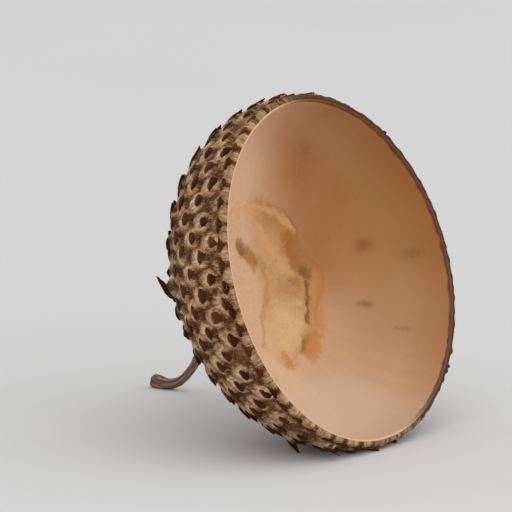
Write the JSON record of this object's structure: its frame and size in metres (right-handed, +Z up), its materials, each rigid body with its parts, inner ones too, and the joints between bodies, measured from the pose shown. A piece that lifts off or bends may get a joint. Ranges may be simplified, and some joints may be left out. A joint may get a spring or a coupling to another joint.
{
  "type": "acorn cap",
  "caption": "Scaly woody cup of an oak with a smooth round bowl, on a short bent stalk, lying on its side.",
  "frame": {"origin": "middle of the bottom of the box that the cap stands in, on the surface it lies on", "axes": "+Z up; the mouth looks along +X and 19.8 degrees up; the stalk runs back along -X"},
  "size_m": [0.0178, 0.018, 0.0171],
  "materials": {
    "husk": "matte, woolly",
    "stalk": "satin, fibrous"
  },
  "bodies": {
    "root": {"cup": "husk", "stalk": "stalk"}
  },
  "joints": []
}
